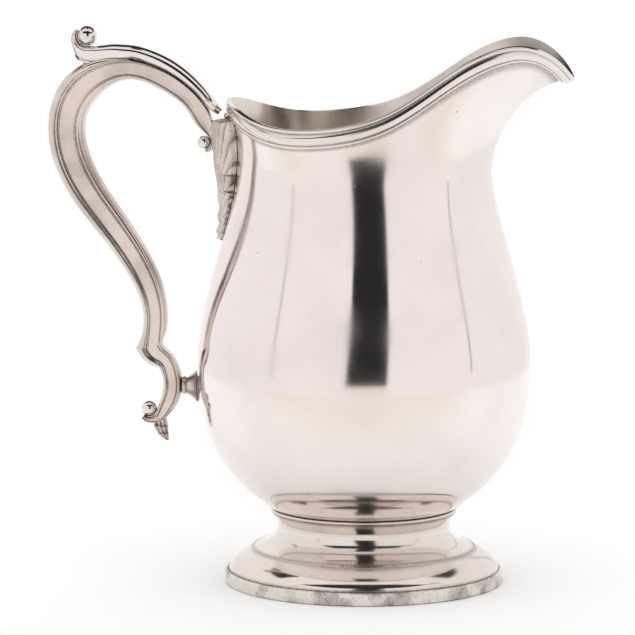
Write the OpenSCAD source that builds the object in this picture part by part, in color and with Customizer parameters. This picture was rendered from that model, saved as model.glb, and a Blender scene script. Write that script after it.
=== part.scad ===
// Water pitcher of raised sheet silver on a spun pedestal foot, with a cast scroll handle.
// Millimetres. The origin is the centre of the circle that the foot rests on,
// +X points to the spout, the handle is on the -X side, and +Z is up.

/* [Body] */
// Radius of the belly, outside, where it is widest
belly_r = 72.3; // [60:0.1:87]
// Height of the belly's widest place above the table
belly_z = 92; // [84:0.5:100]
// Radius of the neck, outside, where it is narrowest
neck_r = 55.2; // [50:0.1:60]
// Height where the round neck starts to take the mouth's shape
neck_z = 176; // [170:0.5:182]
// Radius where the body sits in the foot
seat_r = 39.8; // [33:0.1:44]
// Height where the body sits in the foot
seat_z = 32.5; // [30:0.1:36]
// Thickness of the body's sheet
body_wall = 1; // [0.7:0.1:1.6]

/* [Mouth] */
// From the axis to the back edge of the sheet, beside the handle
mouth_back = 58.2; // [55:0.1:62]
// From the axis to the tip of the spout's sheet
lip_reach = 89.6; // [78:0.1:108]
// Half of the mouth's width
mouth_half_w = 50.5; // [44:0.1:56]
// Height of the sheet's edge at the tip of the spout
lip_z = 219.4; // [214:0.1:226]
// Height of the edge where the spout's sides crest
crest_z = 234.4; // [228:0.1:262]
// Height of the edge where it dips lowest
dip_z = 200.6; // [196:0.1:204]
// Height of the edge at the back, beside the handle
back_z = 209.2; // [205:0.1:212]
// Angle of the spout's sheet above level at its tip
lip_slope = 14; // [5:1:30]
// Angle of the mouth's sheet above level at its sides, and then at its back
side_slope = 86; // [80:1:90]
back_slope = 77; // [70:1:85]

/* [Rim moulding] */
// Height of the applied moulding at the back and sides, measured down the sheet
rim_h = 7.6; // [5:0.1:9]
// Height of the applied moulding at the spout
lip_rim_h = 5.6; // [4.5:0.1:8]
// How far the moulding's broad band stands out of the sheet
rim_t = 2; // [1.2:0.1:2.4]
// How far the moulding's top wire stands over the sheet's edge
rim_over = 0.6; // [0.3:0.1:1]

/* [Foot] */
// Radius of the foot where it rests
foot_r = 60.2; // [52:0.1:73]
// Height of the foot's plain wire
foot_wire_h = 5.6; // [4:0.1:7]
// Width of the foot's plain wire, from its inside to its outside
foot_wire_w = 4.6; // [3.6:0.1:6]
// Radius of the foot's waist
waist_r = 37.2; // [34:0.1:39]
// Height of the foot's waist
waist_z = 24.6; // [23:0.1:26]
// Radius of the step above the foot's shoulder
step_r = 48.4; // [45:0.1:51]
// Height of the step
step_z = 15.3; // [14:0.1:17]
// Thickness of the foot's sheet
foot_wall = 1.2; // [0.8:0.1:1.6]

/* [Handle] */
// Height of the strut between the lower scroll and the belly
strut_z = 84.5; // [80:0.5:95]
// Half of the main handle's width
handle_half_w = 5.2; // [4:0.1:6.5]
// Wall of the hollow castings
handle_wall = 1.2; // [0.9:0.1:1.5]
// Half of the width of the strip on top of the handle
strip_half_w = 4.6; // [3.6:0.1:5.6]
// Radius of the ball on the thumb scroll
thumb_ball_r = 4.35; // [3.5:0.05:5]
// Radius of the ball in the handle's upper scroll
upper_ball_r = 3; // [2.4:0.05:3.6]
// Radius of the ball in the lower scroll
lower_ball_r = 3.5; // [2.8:0.05:4]
// Radius of the bead that bridges the strip and the rim
bead_r = 1.5; // [1.2:0.05:1.8]
// Radius of the strut's flared end on the belly
strut_flare_r = 7.2; // [5.5:0.1:8]
// Radius of the strut's ring on the scroll
strut_ring_r = 3.9; // [3.2:0.1:4.5]

/* [Hidden] */
// Thickness of the solder film between pieces that are joined
solder = 0.05;
// Columns around the body and rows up it
columns = 64;
belly_rows = 26;
neck_rows = 7;
// Sections from one station of the handle to the next, and along the smaller sweeps
steps_each = 3;
scroll_steps = 26;
silver = [0.82, 0.80, 0.79];
bright_silver = [0.90, 0.89, 0.88];

// ---------- shared geometry ----------

function lerp(a, b, t) = a + (b - a) * t;
function ease(t) = let(c = min(max(t, 0), 1)) c * c * (3 - 2 * c);
function unit(v) = v / norm(v);
function last(list) = list[len(list) - 1];

// A smooth curve through the points of a list, t from 0 at the first to 1 at the last
function spline(p, t) =
    let(n = len(p) - 1, s = min(max(t, 0), 0.999999) * n, i = floor(s), f = s - i)
    let(b = p[i], c = p[i + 1])
    let(a = i > 0 ? p[i - 1] : 2 * b - c, d = i + 2 <= n ? p[i + 2] : 2 * c - b)
    b + 0.5 * f * ((c - a) + f * (2 * a - 5 * b + 4 * c - d + f * (3 * (b - c) + d - a)));

function bezier(a, b, c, d, t) =
    pow(1 - t, 3) * a + 3 * t * pow(1 - t, 2) * b + 3 * t * t * (1 - t) * c + pow(t, 3) * d;

// A solid from rings of equal length, each ring joined to the next and both ends closed.
// A mirrored skin splits the second half of each ring the other way, so both sides match.
module skin(rings, mirrored = false) {
    n = len(rings[0]);
    m = len(rings);
    turn = mirrored ? n / 2 : n;
    polyhedron(
        points = [for (ring = rings) each ring],
        faces = concat(
            [[for (j = [0 : n - 1]) j]],
            [for (k = [0 : m - 2], j = [0 : n - 1], half = [0, 1])
                let(a = k * n + j, b = k * n + (j + 1) % n, c = b + n, d = a + n)
                j < turn ? (half == 0 ? [a, c, b] : [a, d, c]) :
                half == 0 ? [a, d, b] : [b, d, c]],
            [[for (j = [n - 1 : -1 : 0]) (m - 1) * n + j]]),
        convexity = 10);
}

// ---------- body ----------

// The round part's outline as [radius, height]: bottom, seat, belly, shoulder, neck
body_outline = [
    [0.3 * seat_r, seat_z - 3.4], [0.7 * seat_r, seat_z - 2.4], [seat_r, seat_z],
    for (p = [[0.17, 0.064], [0.435, 0.185], [0.62, 0.305], [0.81, 0.473], [0.945, 0.715]])
        [lerp(seat_r, belly_r, p[0]), lerp(seat_z, belly_z, p[1])],
    [belly_r, belly_z],
    for (p = [[0.11, 0.245], [0.42, 0.51], [0.79, 0.785]])
        [lerp(belly_r, neck_r, p[0]), lerp(belly_z, neck_z, p[1])],
    [neck_r, neck_z], [neck_r - 0.2, neck_z + 17]];
outline_steps = len(body_outline) - 1;
// Share of the outline at the narrow neck, which is the last point but one
neck_share = (outline_steps - 1) / outline_steps;
neck_lean = unit(body_outline[outline_steps] - body_outline[outline_steps - 2]);

// The mouth's edge, seen from above, at t degrees from the spout's tip
mouth_mid = (lip_reach - mouth_back) / 2;
mouth_half_l = (lip_reach + mouth_back) / 2;
mouth_skew = 0.27;
function mouth_plan(t) =
    [mouth_mid + mouth_half_l * cos(t), mouth_half_w * sin(t) * (1 - mouth_skew * cos(t))];

// Heights of the mouth's edge from the spout's tip round to the back, at equal steps of t
edge_heights = [lerp(lip_z, crest_z, 0.5), lip_z, lerp(lip_z, crest_z, 0.5), crest_z,
    lerp(crest_z, dip_z, 0.23), lerp(crest_z, dip_z, 0.77), dip_z, dip_z + 0.4,
    lerp(dip_z, back_z, 0.72), back_z, lerp(dip_z, back_z, 0.72)];
function edge_height(t) =
    let(side = abs(t > 180 ? t - 360 : t))
    spline(edge_heights, (1 + side / 22.5) / (len(edge_heights) - 1));

function mouth_edge(t) = [each mouth_plan(t), edge_height(t)];

// Level direction outwards from the mouth's edge, and the sheet's direction up to the edge
function mouth_out(t) =
    let(d = mouth_plan(t + 0.5) - mouth_plan(t - 0.5)) unit([d[1], -d[0], 0]);
function sheet_up(t) =
    let(side = abs(t > 180 ? t - 360 : t))
    let(slope = lerp(lerp(lip_slope, side_slope, ease(side / 75)), back_slope, ease(side / 60 - 2)))
    cos(slope) * mouth_out(t) + [0, 0, sin(slope)];

// The body is round up to the belly and a little narrower than long at the neck
neck_flat = 0.95; // [0.9:0.01:1]
function oval(p, ray) =
    let(share = lerp(1, neck_flat, ease((p[1] - belly_z + 30) / (neck_z - belly_z + 34))))
    [p[0] * ray[0], p[0] * share * ray[1], p[1]];

// Height of the rim moulding down the sheet at t: it narrows only near the spout's tip
lip_narrows = 60;
function rim_depth(t) =
    let(side = abs(t > 180 ? t - 360 : t)) lerp(rim_h, lip_rim_h, ease(1 - side / lip_narrows));

// A point on the body's outside. v runs 0 to 1 up the round part, 1 to 2 up the neck
// and 2 to 3 up the straight collar that carries the rim moulding.
function body_at(t, v) =
    let(plan = mouth_plan(t), angle = atan2(plan[1], plan[0]))
    let(ray = [cos(angle), sin(angle), 0])
    v <= 1 ? let(p = spline(body_outline, v * neck_share)) oval(p, ray) :
    let(top = mouth_edge(t), up = sheet_up(t), base = top - rim_depth(t) * up)
    v >= 2 ? lerp(base, top, v - 2) :
    let(from = oval([neck_r, neck_z], ray))
    let(rise = unit(from - oval([neck_r, neck_z] - 0.5 * neck_lean, ray)))
    let(reach = 0.34 * norm(base - from))
    bezier(from, from + reach * rise, base - reach * up, base, v - 1);

function body_normal(t, v) =
    let(round_way = body_at(t + 0.5, v) - body_at(t - 0.5, v))
    let(up_way = body_at(t, min(v + 0.01, 3)) - body_at(t, max(v - 0.01, 0)))
    unit(cross(round_way, up_way));

function body_ring(v, inset) =
    [for (j = [0 : columns - 1]) let(t = 360 * j / columns)
        body_at(t, v) - (inset == 0 ? [0, 0, 0] : inset * body_normal(t, v))];

body_levels = [for (k = [0 : belly_rows]) k / belly_rows,
    for (k = [1 : neck_rows]) 1 + k / neck_rows, 3];

module body_shell() {
    rows = len(body_levels);
    color(silver) skin([
        for (k = [0 : rows - 1]) body_ring(body_levels[k], 0),
        for (k = [rows - 1 : -1 : 0]) body_ring(body_levels[k], body_wall)], mirrored = true);
}

// ---------- rim moulding ----------

// Section of the moulding as [down the sheet, out of the sheet]: wire, groove, band, groove, bead
function rim_section(depth) = [
    [-rim_over, 0], [-rim_over, 0.35 * rim_t], [-0.2, 0.65 * rim_t], [0.8, 0.65 * rim_t],
    [1.3, 0.35 * rim_t], [1.8, 0.6 * rim_t], [0.4 * depth, rim_t], [0.62 * depth, 0.92 * rim_t],
    [0.8 * depth, 0.5 * rim_t], [0.86 * depth, 0.35 * rim_t], [0.92 * depth, 0.5 * rim_t],
    [depth, 0.35 * rim_t], [depth, 0]];

function rim_normal(t) =
    unit(cross(mouth_edge(t + 0.5) - mouth_edge(t - 0.5), sheet_up(t)));

module rim_moulding() {
    half = columns / 2;
    skin([for (j = [0 : half])
        let(t = 360 * j / columns, top = mouth_edge(t), up = sheet_up(t), out = rim_normal(t))
        [for (p = rim_section(rim_depth(t))) top - p[0] * up + (p[1] + 2 * solder) * out]]);
}

module rim_moulding_left() color(bright_silver) rim_moulding();
module rim_moulding_right() color(bright_silver) mirror([0, 1, 0]) rim_moulding();

// ---------- foot ----------

// Outside of the pedestal from the seat down to the wire: a lip, the flared neck with its
// waist, a small step, and the rounded shoulder that stands on the wire
shoulder_r = foot_r - 1.5;
flare_points = [
    [seat_r + 0.5, seat_z - 1.6], [lerp(waist_r, seat_r, 0.5), lerp(waist_z, seat_z, 0.5)],
    [waist_r, waist_z],
    for (p = [[0.08, 0.36], [0.36, 0.72]])
        [lerp(waist_r, step_r, p[0]), lerp(waist_z, step_z, p[1])],
    [step_r, step_z]];
shoulder_points = [
    [step_r + 0.4, step_z - 0.9],
    for (p = [[0.5, 0.28], [0.82, 0.6], [0.975, 0.9]])
        [lerp(step_r, shoulder_r, p[0]), lerp(step_z - 0.9, foot_wire_h, p[1])],
    [shoulder_r, foot_wire_h + solder]];
flare_steps = 12;
shoulder_steps = 8;
pedestal_outline = concat(
    [[seat_r + 0.9, seat_z - 0.5]],
    [for (k = [0 : flare_steps]) spline(flare_points, k / flare_steps)],
    [for (k = [0 : shoulder_steps - 1]) spline(shoulder_points, k / shoulder_steps)],
    [last(shoulder_points)]);

// Where the pedestal's top meets the body, just clear of the body's outside
seat_share = 2 / outline_steps;
pedestal_seat = [for (k = [-2 : 1])
    let(s = seat_share + k * 0.008, a = spline(body_outline, s), b = spline(body_outline, s + 0.001))
    let(along = unit(b - a)) a + solder * [along[1], -along[0]]];

// The pedestal's inside, one sheet's thickness in from its outside
function inset_point(p, k) =
    let(n = len(p) - 1, along = unit(p[min(k + 1, n)] - p[max(k - 1, 0)]))
    p[k] + foot_wall * [along[1], -along[0]];

module foot_pedestal() {
    n = len(pedestal_outline);
    color(silver) rotate_extrude($fn = 72) polygon(concat(
        pedestal_seat,
        pedestal_outline,
        [[shoulder_r - foot_wall, foot_wire_h + solder]],
        [for (k = [n - 3 : -1 : 2]) inset_point(pedestal_outline, k)]));
}

module foot_wire() {
    edge = 1.1;
    color(bright_silver) rotate_extrude($fn = 96) union() {
        translate([foot_r - foot_wire_w, 0]) square([foot_wire_w - edge, foot_wire_h]);
        translate([foot_r - edge - 0.01, 0]) square([edge + 0.01, foot_wire_h - edge]);
        translate([foot_r - edge, foot_wire_h - edge]) intersection() {
            circle(r = edge, $fn = 32);
            translate([-0.01, 0]) square(edge + 1);
        }
    }
}

// ---------- handle ----------

// A place on the handle, [x, z]: share s of the way from the strut up to the mouth's back edge,
// and a distance out from the straight line between the belly and that edge
function handle_at(s, out) =
    [-lerp(belly_r, mouth_back, s) - out, lerp(strut_z, back_z, s)];

// Stations of a sweep are [x, z, outer half depth, inner half depth, half width]
function station(at, outer, inner, half_w) = [at[0], at[1], outer, inner, half_w];
function around(centre, r, angle) = centre + r * [cos(angle), sin(angle)];
function curl(centre, ball_r, angle, half, half_w) =
    station(around(centre, ball_r + 2 * solder + half, angle), half, half, half_w);

upper_ball = handle_at(0.85, 9);
thumb_ball_at = handle_at(1.216, 64.9);
lower_ball = handle_at(-0.084, 20.3);

handle_path = concat(
    [for (p = [[-80, 0.6, 3], [-52, 0.75, 3.3], [-24, 0.9, 3.5], [4, 1.05, 3.8], [38, 1.25, 4.2]])
        curl(upper_ball, upper_ball_r + solder, p[0], p[1], p[2])],
    [for (p = [
        [0.915, 9.2, 3.5, 3.5, 0.85], [0.985, 15.6, 4, 4, 0.95], [1.055, 27.5, 4.2, 4.2, 1],
        [1.102, 44.5, 4.6, 4.6, 1], [1.064, 61.4, 7.8, 7.8, 1], [0.965, 69, 8.2, 8.2, 1],
        [0.84, 68, 8.1, 8.1, 1], [0.72, 60.9, 7.9, 7.9, 1], [0.57, 46, 7.2, 7.2, 0.97],
        [0.43, 32.2, 6.4, 6.4, 0.93], [0.3, 23.6, 5.6, 5.6, 0.9], [0.225, 21.6, 5.3, 5.3, 0.9],
        [0.18, 21.3, 5.8, 5, 0.92], [0.142, 20, 9.5, 2.8, 0.96]])
        station(handle_at(p[0], p[1]), p[2], p[3], p[4] * handle_half_w)]);

handle_steps = steps_each * (len(handle_path) - 1);

function path_dir(path, t) =
    let(a = spline(path, max(t - 0.002, 0)), b = spline(path, min(t + 0.002, 1)))
    unit([b[0] - a[0], b[1] - a[1]]);

// A point of a section: n outwards in the handle's plane, y across it
function on_path(path, dir, n, y) =
    [path[0] + n * dir[1], y, path[1] - n * dir[0]];

// Half of the hollow section: spine, groove, side panel, groove, inner band, then the hollow
function half_section(outer, inner, half_w) =
    let(hollow_o = max(outer - handle_wall, 0.2), hollow_i = max(inner - handle_wall, 0.2))
    let(hollow_w = max(0.7 * half_w - handle_wall, 0.2))
    [[outer, 0], [outer, 0.55 * half_w], [0.84 * outer, 0.93 * half_w], [0.66 * outer, half_w],
     [0.54 * outer, 0.76 * half_w], [-0.36 * inner, 0.7 * half_w], [-0.5 * inner, 0.9 * half_w],
     [-0.8 * inner, 0.85 * half_w], [-inner, 0.45 * half_w], [-inner, 0],
     [-hollow_i, 0], [-hollow_i, hollow_w], [hollow_o, hollow_w], [hollow_o, 0]];

module hollow_half(path, steps, first_dir) {
    skin([for (k = [0 : steps])
        let(p = spline(path, k / steps))
        let(dir = k == 0 && first_dir != undef ? first_dir : path_dir(path, k / steps))
        [for (q = half_section(p[2], p[3], p[4])) on_path(p, dir, q[0], q[1])]]);
}

module handle_shell_left() color(silver) hollow_half(handle_path, handle_steps);
module handle_shell_right() color(silver) mirror([0, 1, 0])
    hollow_half(handle_path, handle_steps);

// The thumb scroll: a strip on top of the handle, from the rim's bead to a curl round its ball
back_base = body_at(180, 2);
bead_at = [back_base[0] - 0.35 * rim_t - bead_r - 10 * solder, back_base[2] + 0.3];
strip_first = 5 * steps_each + 2;
strip_last = 8 * steps_each;
function strip_half(k) = lerp(2.2, 2.9, ease((k - strip_first) / (strip_last - strip_first)));
strip_on_handle = [for (k = [strip_first : strip_last])
    let(p = spline(handle_path, k / handle_steps), dir = path_dir(handle_path, k / handle_steps))
    let(half = strip_half(k), n = p[2] + solder + half)
    [p[0] + n * dir[1], p[1] - n * dir[0], half, half, strip_half_w]];
strip_free = [for (p = [[1.164, 47.5, 2.9], [1.168, 53, 2.6], [1.166, 58, 2.3]])
    station(handle_at(p[0], p[1]), p[2], p[2], strip_half_w)];
curl_steps = 9;
strip_curl = [for (k = [0 : curl_steps])
    let(f = k / curl_steps, half = lerp(2.1, 0.5, f))
    curl(thumb_ball_at, thumb_ball_r, lerp(-78, -212, f), half, lerp(strip_half_w, 3.8, f))];
strip_path = concat(
    [station(bead_at - [bead_r + 1.6, -1.5], 1.3, 1.3, 0.6 * strip_half_w)],
    strip_on_handle, strip_free, strip_curl);

function strip_section(half, half_w) =
    [[half, 0.55 * half_w], [0.45 * half, 0.95 * half_w], [-0.2 * half, 0.8 * half_w],
     [-0.6 * half, half_w], [-half, 0.9 * half_w], [-half, -0.9 * half_w],
     [-0.6 * half, -half_w], [-0.2 * half, -0.8 * half_w], [0.45 * half, -0.95 * half_w],
     [half, -0.55 * half_w]];

// The strip keeps the handle's own stations, so that the two lie flat on each other
module thumb_scroll() {
    n = len(strip_path) - 1;
    color(bright_silver) skin([for (k = [0 : n])
        let(p = strip_path[k], on_handle = k >= 1 && k <= len(strip_on_handle))
        let(dir = on_handle ? path_dir(handle_path, (strip_first + k - 1) / handle_steps)
            : path_dir(strip_path, k / n))
        [for (q = strip_section(p[2], p[4])) on_path(p, dir, q[0], q[1])]]);
}

module ball(at, r) color(bright_silver) translate([at[0], 0, at[1]]) sphere(r = r, $fn = 48);

module thumb_ball() ball(thumb_ball_at, thumb_ball_r);
module upper_scroll_ball() ball(upper_ball, upper_ball_r);
module lower_scroll_ball() ball(lower_ball, lower_ball_r);
module rim_bead() ball(bead_at, bead_r);

// ---------- lower scroll ----------

cut_dir = path_dir(handle_path, 1);
cut_at = let(p = last(handle_path)) [p[0], p[1]];
lower_half_w = 0.88 * handle_half_w;
lower_start = cut_at + 1.6 * [cut_dir[1], -cut_dir[0]] + 2 * solder * cut_dir;
lower_path = concat(
    [station(lower_start, 4.5, 4.5, lower_half_w),
     station(lower_start + [1.2, -2.1], 4.2, 4.2, lower_half_w)],
    [for (p = [[0.096, 16, 3.7], [0.055, 12.8, 4], [0, 11.1, 4.2], [-0.05, 11.7, 4]])
        station(handle_at(p[0], p[1]), p[2], p[2], lower_half_w)],
    [for (p = [[-4, 3.2], [-34, 2.3], [-66, 1.5], [-98, 1.05], [-128, 0.7]])
        curl(lower_ball, lower_ball_r, p[0], p[1], lower_half_w - (3.2 - p[1]) / 3)]);

module lower_scroll_left() color(silver) hollow_half(lower_path, scroll_steps, cut_dir);
module lower_scroll_right() color(silver) mirror([0, 1, 0])
    hollow_half(lower_path, scroll_steps, cut_dir);

// The leaf under the lower scroll hangs from the curl's underside
tail_angle = -52;
tail_root = around(lower_ball, lower_ball_r + 2 * solder + 2 * 2.3, tail_angle);
tail_path = [
    station(tail_root, 2.8, 2.8, 3.6), station(tail_root + [0.7, -2.8], 2.6, 2.6, 3.4),
    station(tail_root + [2, -5.4], 1.7, 1.7, 2.4), station(tail_root + [3.2, -7.4], 0.4, 0.4, 0.7)];
tail_steps = 10;

module tail_leaf() {
    color(silver) skin([for (k = [0 : tail_steps])
        let(p = spline(tail_path, k / tail_steps))
        let(dir = k == 0 ? [cos(tail_angle), sin(tail_angle)] : path_dir(tail_path, k / tail_steps))
        [for (q = strip_section(p[2], p[4])) on_path(p, dir, q[0], q[1])]]);
}

// ---------- strut and upper leaf ----------

// The strut reaches from the lower scroll's inner edge to the belly, along X
strut_from = -belly_r - 2 * solder;
strut_len = let(p = lower_path[4]) strut_from - (p[0] + p[3]) - solder;

module lower_strut() {
    ring = 1.5;
    waist = 0.9 * strut_ring_r;
    color(bright_silver) translate([strut_from, 0, strut_z]) rotate([0, -90, 0])
        rotate_extrude($fn = 64) polygon(concat(
            [[0, 0], [strut_flare_r, 0]],
            [for (k = [1 : 6]) let(f = k / 6)
                [lerp(strut_flare_r, waist, pow(f, 0.75)), f * (strut_len - ring - 0.5)]],
            [[strut_ring_r - 0.3, strut_len - ring - 0.3], [strut_ring_r, strut_len - ring],
             [strut_ring_r, strut_len - 0.4], [strut_ring_r - 0.4, strut_len], [0, strut_len]]));
}

// The leaf below the handle's upper joint follows the body. Rows run up from its tip as
// [place up the body, half width in degrees round the mouth, share of its full stand]
leaf_rows = [
    [0.882, 0.8, 0.12], [0.9, 3, 0.5], [0.925, 4.4, 0.42], [0.95, 5.4, 0.74], [0.975, 6.2, 0.66],
    [1.01, 6.8, 1.05], [1.22, 7.4, 1], [1.5, 7.9, 1], [1.78, 8.2, 1], [1.96, 8.2, 0.6]];
leaf_edge = 0.8;
// Room left between the leaf's ridge and the handle's curl, and under the leaf
leaf_clear = 0.6;
leaf_solder = 3 * solder;
leaf_columns = 12;
leaf_steps = 27;
leaf_stand = let(curl_back = handle_path[3][0] + handle_path[3][3])
    body_at(180, 1.55)[0] - curl_back - leaf_clear;

function leaf_ring(k) =
    let(row = spline(leaf_rows, k / leaf_steps))
    let(side = [for (j = [0 : leaf_columns]) 2 * j / leaf_columns - 1])
    concat(
        [for (a = side) let(t = 180 + a * row[1])
            let(rise = max(row[2] * leaf_stand - leaf_edge, 0) * (1 - a * a))
            body_at(t, row[0]) + (leaf_edge + rise) * body_normal(t, row[0])],
        [for (j = [leaf_columns : -1 : 0]) let(t = 180 + side[j] * row[1])
            body_at(t, row[0]) + leaf_solder * body_normal(t, row[0])]);

module acanthus_drop() color(silver) skin([for (k = [0 : leaf_steps]) leaf_ring(k)]);

body_shell();
rim_moulding_left();
rim_moulding_right();
foot_pedestal();
foot_wire();
handle_shell_left();
handle_shell_right();
thumb_scroll();
thumb_ball();
upper_scroll_ball();
acanthus_drop();
rim_bead();
lower_scroll_left();
lower_scroll_right();
lower_scroll_ball();
tail_leaf();
lower_strut();
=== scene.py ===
# %% [markdown]
# # A footed silver water pitcher, dressed in Blender on a finished CAD frame
# The frame holds seventeen soldered pieces at their real size and place. This lesson gives each of
# them its fine surface: the raised body, the applied rim moulding, the spun foot, the cast handle
# with its balls and leaves, and the polished silver that ties them together. Two ways of making a
# shape are used. What is a section carried along a path (mouldings, spun rings, castings) is one
# Geometry Nodes tree, fed with a path and a section. What changes its shape from place to place
# (the body with its spout, the chased leaf) is a grid of points worked out by a formula.

# %% The frame
import math
import bmesh
import bpy
import numpy as np
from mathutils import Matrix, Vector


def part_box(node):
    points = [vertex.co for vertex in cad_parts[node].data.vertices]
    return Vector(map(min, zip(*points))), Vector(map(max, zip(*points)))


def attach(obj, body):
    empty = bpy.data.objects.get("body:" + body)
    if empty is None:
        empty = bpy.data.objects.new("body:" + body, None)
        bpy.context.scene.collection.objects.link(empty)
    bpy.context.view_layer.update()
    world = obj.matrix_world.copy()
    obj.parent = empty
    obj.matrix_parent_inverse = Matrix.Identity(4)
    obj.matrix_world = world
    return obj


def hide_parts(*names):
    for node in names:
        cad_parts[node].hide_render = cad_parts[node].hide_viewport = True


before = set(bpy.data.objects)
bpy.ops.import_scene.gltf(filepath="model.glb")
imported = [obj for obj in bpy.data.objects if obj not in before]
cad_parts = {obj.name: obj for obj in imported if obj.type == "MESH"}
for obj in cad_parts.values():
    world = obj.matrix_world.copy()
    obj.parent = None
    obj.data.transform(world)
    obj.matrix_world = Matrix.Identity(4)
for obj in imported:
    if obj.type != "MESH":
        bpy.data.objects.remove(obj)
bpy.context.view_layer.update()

MM = 0.001


def box_mm(node):
    low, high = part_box(node)
    return np.array(low) / MM, np.array(high) / MM


def ball_of(node):
    """Centre and radius in millimetres of a CAD node that is a ball."""
    low, high = box_mm(node)
    return (low + high) / 2, (high[0] - low[0]) / 2


belly_r = -box_mm("body_shell")[0][0]
lip_reach = box_mm("body_shell")[1][0]
foot_r = box_mm("foot_wire")[1][0]
wire_h = box_mm("foot_wire")[1][2]
print("belly radius", round(belly_r, 1), "spout reach", round(lip_reach, 1), "foot radius", round(foot_r, 1))

# %% [markdown]
# ## The camera
# A long lens far away keeps the pitcher's outline nearly flat, as catalogue pictures do. The camera
# stands a little higher than the pitcher and looks slightly down, with the spout turned a few
# degrees towards it.

# %% Camera
camera_turn = math.radians(5.5)
camera_drop = math.radians(7.52)
camera_away, camera_left, camera_up = 1900, 20.1, 365.9
right = np.array([math.cos(camera_turn), math.sin(camera_turn), 0])
ahead = np.array([-math.sin(camera_turn), math.cos(camera_turn), 0])
sensor_mm, focal_mm = 36, 251.4
lens = bpy.data.cameras.new("camera")
lens.sensor_width = sensor_mm
lens.lens = focal_mm
camera = bpy.data.objects.new("camera", lens)
camera.location = (-camera_left * right - camera_away * ahead + [0, 0, camera_up]) * MM
camera.rotation_euler = (math.pi / 2 - camera_drop, 0, camera_turn)
bpy.context.scene.collection.objects.link(camera)
bpy.context.scene.camera = camera
print("camera at", [round(c, 3) for c in camera.location])

# %% [markdown]
# ## One helper for every node
# Materials, the world and the Geometry Nodes tree are all graphs. This function adds one node: its
# settings are keyword arguments, and its inputs are either plain values or sockets to link.


# %% Node and colour helpers
def add(tree, kind, inputs=None, **settings):
    node = tree.nodes.new(kind)
    for name, value in settings.items():
        setattr(node, name, value)
    for name, value in (inputs or {}).items():
        if isinstance(value, bpy.types.NodeSocket):
            tree.links.new(value, node.inputs[name])
        else:
            node.inputs[name].default_value = value
    return node


def linear(hex_colour):
    """An sRGB hex colour as linear red, green, blue and alpha."""
    parts = [int(hex_colour[i:i + 2], 16) / 255 for i in (1, 3, 5)]
    return [p / 12.92 if p <= 0.04045 else ((p + 0.055) / 1.055) ** 2.4 for p in parts] + [1]


# %% [markdown]
# ## The studio
# Polished silver has almost no look of its own: it shows the room. A photographer's light tent is
# a white wall all round under a white roof, with a dark gap in front where the lens looks in. The
# walls and the roof here are glowing cards that only reflections see, so the camera can be moved
# anywhere. The floor is the one stage piece that is really lit, by the white world and a soft light
# that reflections don't see.

# %% Studio
scene = bpy.context.scene
scene.view_settings.view_transform = "Standard"


def emitter(name, colour):
    material = bpy.data.materials.new(name)
    material.use_nodes = True
    tree = material.node_tree
    tree.nodes.clear()
    glow = add(tree, "ShaderNodeEmission", {"Color": linear(colour), "Strength": 1.0})
    add(tree, "ShaderNodeOutputMaterial", {"Surface": glow.outputs[0]})
    return material


def card(name, turns, heights, away, material):
    """A curved card round the pitcher. Turns are degrees from the camera's side, anticlockwise
    from above, at the card's foot and at its head; heights and distance are millimetres."""
    steps = 40
    points, faces = [], []
    for height, (start, end) in zip(heights, turns):
        for k in range(steps + 1):
            angle = math.radians(start + (end - start) * k / steps) + camera_turn - math.pi / 2
            points.append((away * MM * math.cos(angle), away * MM * math.sin(angle), height * MM))
    for k in range(steps):
        faces.append((k, k + 1, steps + k + 2, steps + k + 1))
    mesh = bpy.data.meshes.new(name)
    mesh.from_pydata(points, [], faces)
    mesh.materials.append(material)
    piece = bpy.data.objects.new(name, mesh)
    scene.collection.objects.link(piece)
    piece.visible_camera = piece.visible_diffuse = piece.visible_shadow = False


tent_r = 750
front_h = 600
back_h = 720
tent_white = emitter("tent_cloth_white", "#FFFAFB")
tent_side = emitter("tent_cloth_side", "#FFFBFA")
card("tent_front_left", [(-62.5, -13.2), (-62.5, -9.0)], (0, front_h), tent_r, tent_white)
card("tent_front_right", [(13.0, 73.5), (17.5, 73.5)], (0, front_h), tent_r, tent_white)
card("tent_side_right", [(74.2, 157), (74.2, 157)], (0, back_h), tent_r, tent_side)
card("tent_back", [(157.8, 296.9), (157.8, 296.9)], (0, back_h), tent_r, tent_side)

# the roof's three cards, as left, front, right and back edges in metres; they leave a slot at the middle
roof_z = 1.5
roof_parts = [(-1.6, -0.75, -0.12, 0.25), (0.12, -0.75, 1.6, 0.25), (-0.13, -0.75, 0.13, -0.2)]
corners = [(x, y, roof_z) for x0, y0, x1, y1 in roof_parts
           for x, y in ((x0, y0), (x1, y0), (x1, y1), (x0, y1))]
roof_mesh = bpy.data.meshes.new("tent_roof")
roof_mesh.from_pydata(corners, [], [(k, k + 1, k + 2, k + 3) for k in (0, 4, 8)])
roof_mesh.materials.append(tent_side)
roof = bpy.data.objects.new("tent_roof", roof_mesh)
roof.rotation_euler.z = camera_turn
scene.collection.objects.link(roof)
roof.visible_camera = roof.visible_diffuse = roof.visible_shadow = False

soft = bpy.data.lights.new("softbox", "AREA")
soft.shape = "RECTANGLE"
soft.size, soft.size_y = 1.0, 0.42
soft.energy = 0.5
softbox = bpy.data.objects.new("softbox", soft)
softbox.visible_glossy = False
softbox_up = math.radians(50)
softbox_away, softbox_left, softbox_aim_z = 1.05, 0.1, 0.12
softbox.location = (-softbox_left * right - softbox_away * math.cos(softbox_up) * ahead) + np.array(
    [0, 0, softbox_aim_z + softbox_away * math.sin(softbox_up)])
softbox.rotation_euler = (math.pi / 2 - softbox_up, 0, camera_turn)
scene.collection.objects.link(softbox)

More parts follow.
